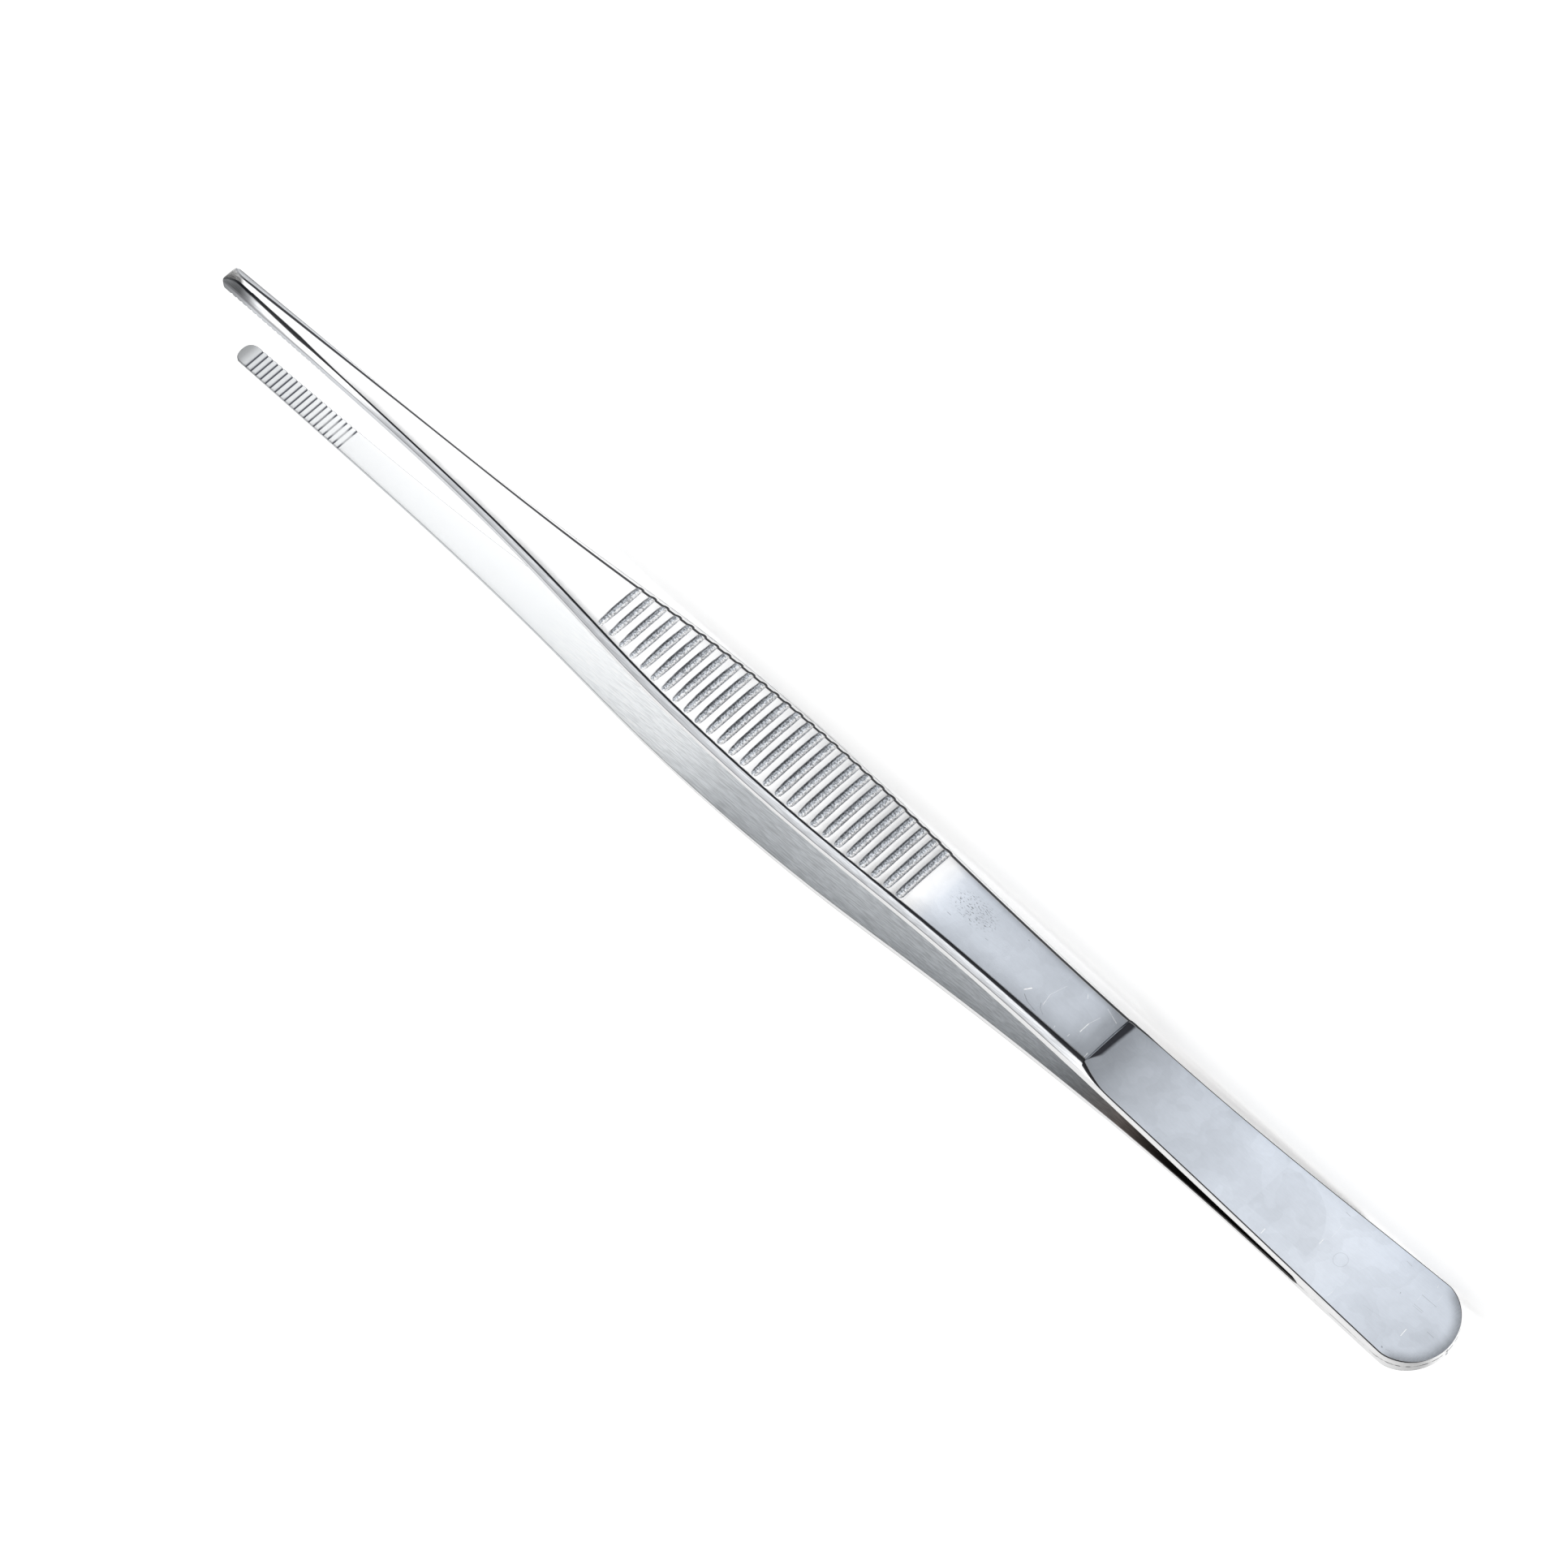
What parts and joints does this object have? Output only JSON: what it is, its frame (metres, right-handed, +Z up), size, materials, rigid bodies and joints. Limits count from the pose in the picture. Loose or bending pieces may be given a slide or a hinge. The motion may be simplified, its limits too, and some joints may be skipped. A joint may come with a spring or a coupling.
{
  "type": "thumb forceps",
  "caption": "Slender spring-action thumb forceps: two mirror-image arms joined at a flat heel, with cross-grooved finger grips and finely serrated round-nosed jaws.",
  "frame": {"origin": "centre of the bounding box at table height, with the forceps lying on its side as it comes to rest", "axes": "+X from the butt towards the tips, +Y from the right arm to the left arm, which is the way they open, +Z up from the table, towards the side where the finger grooves fade out"},
  "size_m": [0.2, 0.0198, 0.0118],
  "materials": {
    "polished_steel": "stainless steel, outer faces polished bright, sides and inner faces satin, groove bottoms grit-blasted"
  },
  "bodies": {
    "root": {"right_arm": "polished_steel", "left_arm": "polished_steel"}
  },
  "joints": []
}
